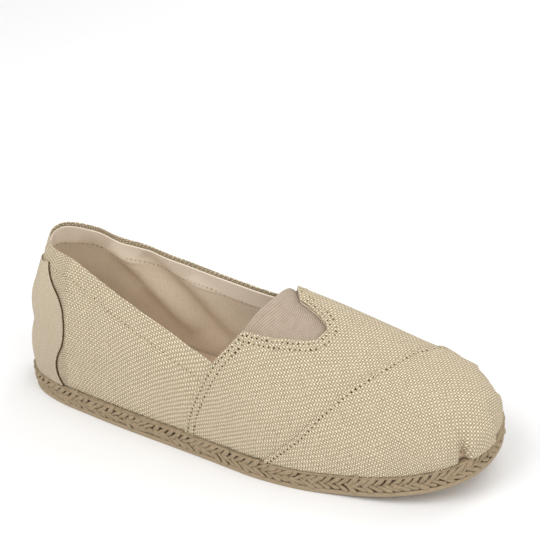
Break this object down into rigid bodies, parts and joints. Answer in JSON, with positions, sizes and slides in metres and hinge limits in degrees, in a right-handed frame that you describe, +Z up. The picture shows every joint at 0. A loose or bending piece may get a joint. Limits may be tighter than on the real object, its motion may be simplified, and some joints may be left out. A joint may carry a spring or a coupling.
{
  "type": "espadrille",
  "caption": "Right slip-on espadrille: canvas upper with elastic gore at the throat, heel counter and insole on a braided jute sole with a thin rubber outsole.",
  "frame": {"origin": "on the ground, under the middle of the shoe's box", "axes": "+X from heel to toe, +Y to the inner side of the foot, +Z up"},
  "size_m": [0.265, 0.0924, 0.0881],
  "materials": {
    "rubber": "matt tan rubber",
    "jute": "dry braided jute cord",
    "lining": "soft cotton",
    "canvas": "coarse plain-weave canvas",
    "elastic": "ribbed elastic webbing"
  },
  "bodies": {
    "root": {"outsole": "rubber", "jute_sole": "jute", "insole": "lining", "upper": "canvas", "heel_counter": "canvas", "elastic_gore": "elastic"}
  },
  "joints": []
}
